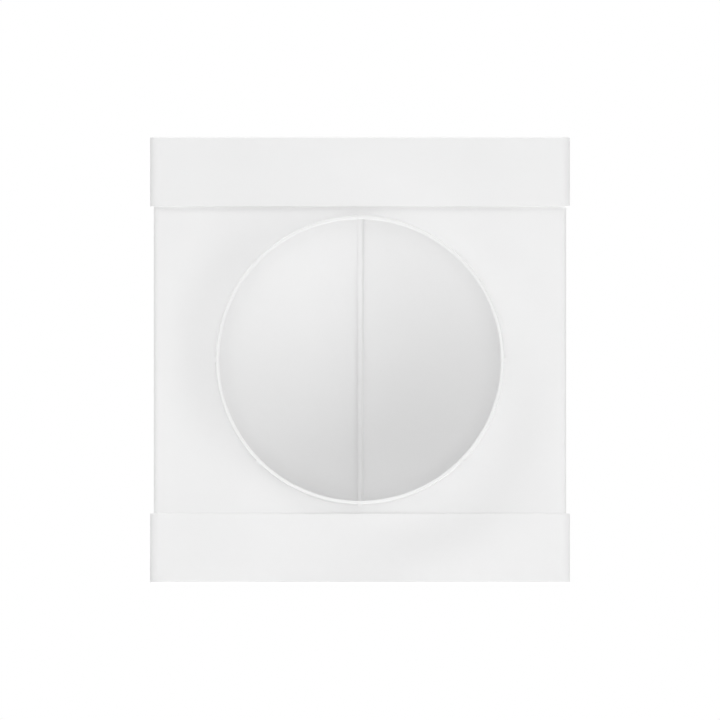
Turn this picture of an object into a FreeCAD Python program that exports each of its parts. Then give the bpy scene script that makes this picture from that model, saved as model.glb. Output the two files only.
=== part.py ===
import FreeCAD, Part
import os
from FreeCAD import Vector

# Duct tee: one plastic moulding that joins two flat ducts end to end and takes a round duct
# on the middle of its wide front wall. Millimetres, +Z along the run, the branch points to -Y.
# The origin is the middle of the lower socket's mouth, on the axis of the run.

# Flat duct that plugs into both ends of the run, outside size
duct_width = 220.0
duct_depth = 90.0
duct_corner_radius = 2.7
duct_clearance = 0.3

# Round duct that plugs into the branch, outside size
pipe_diameter = 150.0
pipe_clearance = 0.45

# Walls of the moulding
body_wall = 2.0
socket_wall = 2.0
branch_wall = 1.5

# Depth of the flat sockets, height of the branch, and the flat stretch between the branch
# and each duct's end
socket_depth = 35.4
branch_length = 36.0
branch_margin = 7.05

# Low stiffening rib along the middle of the back wall, from stop to stop. Its left side is
# upright with small radii, its right side is eased with two large ones. The first two lengths
# are measured from the middle of the wall.
back_rib_to_left = 1.05
back_rib_to_right = 1.6
back_rib_height = 2.4
back_rib_root_radius = 0.5
back_rib_edge_radius = 0.2
back_rib_eased_radius = 1.1

# Short ribs along the outside of the branch, evenly spaced round it. They end a setback below
# the rim's rounding.
side_rib_count = 8
side_rib_width = 2.3
side_rib_reach = 1.3
side_rib_setback = 0.3
side_rib_edge_radius = 0.3

# Small edges
duct_lead_in = 0.7
pipe_lead_in = 0.2
lip_radius = 1.0
step_radius = 0.6
rim_radius = 0.2
branch_root_radius = 0.8
passage_corner_radius = 1.0

# Sizes that follow from the ones above
body_width = duct_width + 2 * duct_clearance
body_depth = duct_depth + 2 * duct_clearance
body_corner_radius = duct_corner_radius + duct_clearance
passage_width = body_width - 2 * body_wall
passage_depth = body_depth - 2 * body_wall
collar_width = body_width + 2 * socket_wall
collar_depth = body_depth + 2 * socket_wall
collar_corner_radius = body_corner_radius + socket_wall
collar_length = socket_depth + socket_wall
bore_radius = pipe_diameter / 2 + pipe_clearance
branch_radius = bore_radius + branch_wall
stop_distance = 2 * (branch_radius + branch_margin)
run_length = stop_distance + 2 * socket_depth
middle_height = run_length / 2
front_face = -body_depth / 2
front_wall_middle = front_face + body_wall / 2
rim_face = front_face - branch_length
back_face_inside = passage_depth / 2
back_wall_middle = back_face_inside + body_wall / 2

# How far a cut runs past the face that it opens, and the tolerance for picking edges
overrun = 1.0
tolerance = 1e-6

up = Vector(0, 0, 1)
backwards = Vector(0, 1, 0)
centre_of_run = Vector(0, 0, middle_height)


def edges_at_height(solid, height):
    picked = []
    for edge in solid.Edges:
        box = edge.BoundBox
        if abs(box.ZMin - height) < tolerance and abs(box.ZMax - height) < tolerance:
            picked.append(edge)
    return picked


def rounded_bar(width, depth, corner_radius, bottom, top):
    bar = Part.makeBox(width, depth, top - bottom, Vector(-width / 2, -depth / 2, bottom))
    upright_edges = []
    for edge in bar.Edges:
        if edge.BoundBox.ZLength > tolerance:
            upright_edges.append(edge)
    return bar.makeFillet(corner_radius, upright_edges)


def at_both_ends(lower_solid):
    return [lower_solid, lower_solid.mirror(centre_of_run, up)]


# A closed face in a level plane, from edges given in any order
def face_from(edges):
    return Part.Face(Part.Wire(Part.__sortEdges__(edges)))


# Outside of one flat socket: a collar with a rounded lip and a square step down to the body
def make_collar():
    collar = rounded_bar(collar_width, collar_depth, collar_corner_radius, 0, collar_length)
    collar = collar.makeFillet(step_radius, edges_at_height(collar, collar_length))
    return collar.makeFillet(lip_radius, edges_at_height(collar, 0))


# Room for the end of one flat duct: the pocket that it slides into and a flared lead-in
def make_duct_pocket():
    pocket = rounded_bar(body_width, body_depth, body_corner_radius, -overrun, socket_depth)
    flare = rounded_bar(
        body_width + 2 * duct_lead_in,
        body_depth + 2 * duct_lead_in,
        body_corner_radius + duct_lead_in,
        -overrun,
        duct_lead_in,
    )
    flare = flare.makeChamfer(duct_lead_in, edges_at_height(flare, duct_lead_in))
    return pocket.fuse(flare)


# Outside of the branch, turned about its axis: a rounded rim, a straight wall and a small
# fillet where it grows out of the front wall
def make_branch_outside():
    def point(radius, depth):
        return Vector(radius, depth, middle_height)

    rim_edge = branch_radius - rim_radius
    rim_end = rim_face + rim_radius
    root_edge = branch_radius + branch_root_radius
    root_end = front_face - branch_root_radius
    outline = face_from([
        Part.makeLine(point(0, rim_face), point(rim_edge, rim_face)),
        Part.makeCircle(rim_radius, point(rim_edge, rim_end), up, 270, 360),
        Part.makeLine(point(branch_radius, rim_end), point(branch_radius, root_end)),
        Part.makeCircle(branch_root_radius, point(root_edge, root_end), up, 90, 180),
        Part.makeLine(point(root_edge, front_face), point(root_edge, front_wall_middle)),
        Part.makeLine(point(root_edge, front_wall_middle), point(0, front_wall_middle)),
        Part.makeLine(point(0, front_wall_middle), point(0, rim_face)),
    ])
    return outline.revolve(centre_of_run, backwards, 360)


# Bore of the branch, straight through the front wall, with a small lead-in at the rim
def make_branch_bore():
    start = Vector(0, rim_face - overrun, middle_height)
    bore_length = branch_length + body_wall + 2 * overrun
    flare_length = pipe_lead_in + overrun
    bore = Part.makeCylinder(bore_radius, bore_length, start, backwards)
    flare = Part.makeCone(bore_radius + flare_length, bore_radius, flare_length, start, backwards)
    return bore.fuse(flare)


# The rib at the top of the branch: a square bar with two rounded edges, its end just behind the rim
def make_side_rib():
    inside = branch_radius - branch_wall / 2
    outside = branch_radius + side_rib_reach
    start = rim_face + rim_radius + side_rib_setback
    rib = Part.makeBox(
        side_rib_width,
        front_wall_middle - start,
        outside - inside,
        Vector(-side_rib_width / 2, start, middle_height + inside),
    )
    long_edges = []
    for edge in edges_at_height(rib, middle_height + outside):
        if edge.BoundBox.YLength > tolerance:
            long_edges.append(edge)
    return rib.makeFillet(side_rib_edge_radius, long_edges)


def make_side_ribs():
    ribs = []
    for index in range(side_rib_count):
        rib = make_side_rib()
        rib.rotate(centre_of_run, backwards, index * 360 / side_rib_count)
        ribs.append(rib)
    return ribs


# Rib on the back wall: a small edge radius and root fillet on its left side, and a large
# radius that runs on into an equal fillet on its right side
def make_back_rib():
    def point(side, depth):
        return Vector(side, depth, socket_depth)

    eased_radius = min(back_rib_eased_radius, 0.45 * back_rib_height)
    edge_face = back_face_inside - back_rib_height
    left_flat = -back_rib_to_left + back_rib_edge_radius
    left_root = -back_rib_to_left - back_rib_root_radius
    left_edge_end = edge_face + back_rib_edge_radius
    left_root_end = back_face_inside - back_rib_root_radius
    right_flat = back_rib_to_right - eased_radius
    right_root = back_rib_to_right + eased_radius
    right_edge_end = edge_face + eased_radius
    right_root_end = back_face_inside - eased_radius
    section = face_from([
        Part.makeLine(point(left_flat, edge_face), point(right_flat, edge_face)),
        Part.makeCircle(eased_radius, point(right_flat, right_edge_end), up, 270, 360),
        Part.makeLine(point(back_rib_to_right, right_edge_end), point(back_rib_to_right, right_root_end)),
        Part.makeCircle(eased_radius, point(right_root, right_root_end), up, 90, 180),
        Part.makeLine(point(right_root, back_face_inside), point(right_root, back_wall_middle)),
        Part.makeLine(point(right_root, back_wall_middle), point(left_root, back_wall_middle)),
        Part.makeLine(point(left_root, back_wall_middle), point(left_root, back_face_inside)),
        Part.makeCircle(back_rib_root_radius, point(left_root, left_root_end), up, 0, 90),
        Part.makeLine(point(-back_rib_to_left, left_root_end), point(-back_rib_to_left, left_edge_end)),
        Part.makeCircle(back_rib_edge_radius, point(left_flat, left_edge_end), up, 180, 270),
    ])
    return section.extrude(Vector(0, 0, stop_distance))


def make_tee():
    body = rounded_bar(body_width, body_depth, body_corner_radius, socket_depth, run_length - socket_depth)
    outside = body.multiFuse(at_both_ends(make_collar()) + [make_branch_outside()] + make_side_ribs())
    passage = rounded_bar(passage_width, passage_depth, passage_corner_radius, 0, run_length)
    hollow = passage.multiFuse(at_both_ends(make_duct_pocket()) + [make_branch_bore()])
    shell = outside.cut(hollow)
    return shell.fuse(make_back_rib()).removeSplitter()


tee_body = make_tee()
os.makedirs("parts", exist_ok=True)
tee_body.exportStep("parts/tee_body.step")
box = tee_body.optimalBoundingBox(False)
print("tee_body:", len(tee_body.Solids), "solid, valid", tee_body.isValid())
print("volume", round(tee_body.Volume / 1000, 2), "cm3, size", box.XLength, box.YLength, box.ZLength)
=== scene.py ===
import math
import bpy
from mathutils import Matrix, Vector

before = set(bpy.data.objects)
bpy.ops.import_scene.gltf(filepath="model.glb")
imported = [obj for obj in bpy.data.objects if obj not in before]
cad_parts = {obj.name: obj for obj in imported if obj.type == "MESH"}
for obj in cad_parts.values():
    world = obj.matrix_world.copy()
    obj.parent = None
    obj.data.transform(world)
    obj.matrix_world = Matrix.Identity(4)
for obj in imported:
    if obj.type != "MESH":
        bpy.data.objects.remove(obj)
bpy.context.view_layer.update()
scene = bpy.context.scene
millimetre = 0.001
print("frame loaded:", ", ".join(sorted(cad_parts)))


class Signal:  # one output socket that takes part in sums and products
    def __init__(self, graph, socket):
        self.graph = graph
        self.socket = socket

    def join(self, operation, first, second):
        return self.graph.add("ShaderNodeMath", {"operation": operation}, {0: first, 1: second})["Value"]

    def __add__(self, other):
        return self.join("ADD", self, other)

    def __radd__(self, other):
        return self.join("ADD", other, self)

    def __sub__(self, other):
        return self.join("SUBTRACT", self, other)

    def __rsub__(self, other):
        return self.join("SUBTRACT", other, self)

    def __mul__(self, other):
        return self.join("MULTIPLY", self, other)

    def __rmul__(self, other):
        return self.join("MULTIPLY", other, self)


class Made:  # a node's outputs by name or number, ready for sums
    def __init__(self, graph, node):
        self.graph = graph
        self.node = node

    def __getitem__(self, output):
        return Signal(self.graph, self.node.outputs[output])


class Graph:  # the node tree of one material or of the world
    def __init__(self, owner):
        owner.use_nodes = True
        self.tree = owner.node_tree
        self.tree.nodes.clear()

    def add(self, kind, settings=None, values=None):
        node = self.tree.nodes.new(kind)
        for setting, value in (settings or {}).items():
            setattr(node, setting, value)
        for slot, value in (values or {}).items():
            if isinstance(value, Signal):
                self.tree.links.new(value.socket, node.inputs[slot])
            else:
                node.inputs[slot].default_value = value
        return Made(self, node)

    def larger(self, first, second):
        return self.add("ShaderNodeMath", {"operation": "MAXIMUM"}, {0: first, 1: second})["Value"]

    def between(self, factor, first, second):  # numbers 6, 7 and 2 are the colour sockets of a Mix node
        return self.add("ShaderNodeMix", {"data_type": "RGBA"}, {"Factor": factor, 6: first, 7: second})[2]


def grey(level):
    return (level, level, level, 1)


# white plastic as it leaves a fine spark-eroded mould
plastic = {
    "lightest": 0.915,          # share of the light that it sends back
    "darkest": 0.895,
    "roughness": 0.55,
    "reflectivity": 1.5,        # index of refraction
    "noiseMiddle": 0.5,         # level that the patterns swing about
    "noiseRoughness": 0.5,
    "flowSize": 60.0,           # slow change along the flow of the melt, mm
    "flowDetail": 2.0,
    "flowGloss": 0.06,
    "peelSize": 3.5,            # faint unevenness of the cooled skin, mm
    "peelDetail": 1.0,
    "peelDepth": 0.004,
    "grainSize": 0.45,          # grain of the mould, mm
    "grainDetail": 1.0,
    "grainDepth": 0.004,
    "grainGloss": 0.10,
}


def noiseOf(graph, place, look, pattern):
    return graph.add("ShaderNodeTexNoise", {"noise_dimensions": "3D"}, {
        "Vector": place,
        "Scale": 1 / (look[pattern + "Size"] * millimetre),
        "Detail": look[pattern + "Detail"],
        "Roughness": look["noiseRoughness"],
    })["Fac"]


def bumpOf(graph, height, depth, below=None):
    values = {"Height": height, "Strength": 1.0, "Distance": depth * millimetre}
    if below is not None:
        values["Normal"] = below
    return graph.add("ShaderNodeBump", {}, values)["Normal"]


def mouldedPlastic(look):
    material = bpy.data.materials.new("whiteMouldedPlastic")
    graph = Graph(material)
    place = graph.add("ShaderNodeTexCoord")["Object"]
    flow = noiseOf(graph, place, look, "flow")
    peel = noiseOf(graph, place, look, "peel")
    grain = noiseOf(graph, place, look, "grain")
    shade = graph.between(flow, grey(look["darkest"]), grey(look["lightest"]))
    gloss = look["roughness"]
    gloss = gloss + (grain - look["noiseMiddle"]) * look["grainGloss"]
    gloss = gloss + (flow - look["noiseMiddle"]) * look["flowGloss"]
    relief = bumpOf(graph, peel, look["peelDepth"])
    relief = bumpOf(graph, grain, look["grainDepth"], relief)
    surface = graph.add("ShaderNodeBsdfPrincipled", {}, {
        "Base Color": shade,
        "Roughness": gloss,
        "Normal": relief,
        "IOR": look["reflectivity"],
    })
    graph.add("ShaderNodeOutputMaterial", {}, {"Surface": surface["BSDF"]})
    return material


whitePlastic = mouldedPlastic(plastic)
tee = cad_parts["tee_body"]
for slot in tee.material_slots:
    slot.material = whitePlastic
print("plastic on", tee.name)


table = {
    "side": 8.0,                # metres
    "colour": 0.80,
}


# a pale translucent table: it lets the lamps under it through and keeps the shadows from above
def makeTable(look):
    half = look["side"] / 2
    corners = [(-half, -half, 0), (half, -half, 0), (half, half, 0), (-half, half, 0)]
    mesh = bpy.data.meshes.new("lightTable")
    mesh.from_pydata(corners, [], [(0, 1, 2, 3)])
    top = bpy.data.objects.new("lightTable", mesh)
    scene.collection.objects.link(top)
    material = bpy.data.materials.new("paleTable")
    graph = Graph(material)
    throughRay = graph.add("ShaderNodeLightPath")["Is Shadow Ray"]
    underside = graph.add("ShaderNodeNewGeometry")["Backfacing"]
    matte = graph.add("ShaderNodeBsdfDiffuse", {}, {"Color": grey(look["colour"])})["BSDF"]
    clear = graph.add("ShaderNodeBsdfTransparent")["BSDF"]
    both = graph.add("ShaderNodeMixShader", {}, {0: graph.larger(throughRay, underside), 1: matte, 2: clear})
    graph.add("ShaderNodeOutputMaterial", {}, {"Surface": both["Shader"]})
    mesh.materials.append(material)


background = {
    "light": 0.15,              # what the surroundings give the object
    "seen": 1.0,                # what the camera and reflections see
}


def makeBackground(look):
    world = bpy.data.worlds.new("studio")
    scene.world = world
    graph = Graph(world)
    ray = graph.add("ShaderNodeLightPath")
    seen = graph.larger(ray["Is Camera Ray"], graph.larger(ray["Is Glossy Ray"], ray["Is Transmission Ray"]))
    strength = look["light"] + seen * (look["seen"] - look["light"])
    glow = graph.add("ShaderNodeBackground", {}, {"Color": grey(1.0), "Strength": strength})["Background"]
    graph.add("ShaderNodeOutputWorld", {}, {"Surface": glow})


makeTable(table)
makeBackground(background)
print("table and background made")


# Tilt is counted from the camera's line and azimuth from the right towards the top of the
# picture, both in degrees. Strength is the share of a full light that the lamp gives a wall that
# faces it. Softness is the width of the lamp as the object sees it, in degrees.
lamps = {
    "underTable": {"tilt": 110, "azimuth": 270, "strength": 0.70, "softness": 15},
    "underFront": {"tilt": 85, "azimuth": 270, "strength": 0.15, "softness": 15},
    "underRight": {"tilt": 80, "azimuth": 325, "strength": 0.10, "softness": 30},
    "overheadBack": {"tilt": 110, "azimuth": 90, "strength": 0.20, "softness": 15},
    "overheadRight": {"tilt": 100, "azimuth": 65, "strength": 0.15, "softness": 40},
    "overheadLeft": {"tilt": 75, "azimuth": 135, "strength": 0.27, "softness": 60},
    "softRight": {"tilt": 55, "azimuth": 40, "strength": 0.11, "softness": 60},
    "besideCamera": {"tilt": 0, "azimuth": 0, "strength": 0.10, "softness": 10},
    "left": {"tilt": 45, "azimuth": 180, "strength": 0.02, "softness": 10},
    "rightFront": {"tilt": 30, "azimuth": 350, "strength": 0.08, "softness": 25},
    "lowRight": {"tilt": 40, "azimuth": 310, "strength": 0.02, "softness": 10},
    "behind": {"tilt": 180, "azimuth": 0, "strength": 0.12, "softness": 40},
}

# an even row of small lamps over the front, which comes nearer to the camera from right to left
lampRow = {
    "count": 5,
    "firstTilt": 65,
    "lastTilt": 45,
    "firstAzimuth": 60,
    "lastAzimuth": 130,
    "strength": 0.05,           # of each lamp
    "softness": 20,
}


def makeLamp(name, look):
    tilt, azimuth = math.radians(look["tilt"]), math.radians(look["azimuth"])
    towards = Vector((
        math.sin(tilt) * math.cos(azimuth),
        -math.cos(tilt),
        math.sin(tilt) * math.sin(azimuth),
    ))
    light = bpy.data.lights.new(name, "SUN")
    light.energy = math.pi * look["strength"]
    light.angle = math.radians(look["softness"])
    lamp = bpy.data.objects.new(name, light)
    lamp.rotation_euler = towards.to_track_quat("Z", "Y").to_euler()
    scene.collection.objects.link(lamp)


def makeLampRow(row):
    for place in range(row["count"]):
        share = place / (row["count"] - 1)
        makeLamp("row%d" % (place + 1), {
            "tilt": row["firstTilt"] + share * (row["lastTilt"] - row["firstTilt"]),
            "azimuth": row["firstAzimuth"] + share * (row["lastAzimuth"] - row["firstAzimuth"]),
            "strength": row["strength"],
            "softness": row["softness"],
        })


for name, look in lamps.items():
    makeLamp(name, look)
makeLampRow(lampRow)
print("lamps:", len(lamps) + lampRow["count"])


view = {
    "imageSide": 720,           # pixels
    "pixelSize": 0.535,         # mm of the object behind one pixel
    "height": 119.4,            # middle of the run, mm
    "distance": 1500,           # mm
}


# straight on and without perspective, as the photograph is
def makeCamera(look):
    camera = bpy.data.cameras.new("front")
    camera.type = "ORTHO"
    camera.ortho_scale = look["imageSide"] * look["pixelSize"] * millimetre
    holder = bpy.data.objects.new("front", camera)
    holder.location = (0, -look["distance"] * millimetre, look["height"] * millimetre)
    holder.rotation_euler = (math.radians(90), 0, 0)
    scene.collection.objects.link(holder)
    scene.camera = holder


makeCamera(view)
scene.view_settings.view_transform = "Standard"
print("camera set")
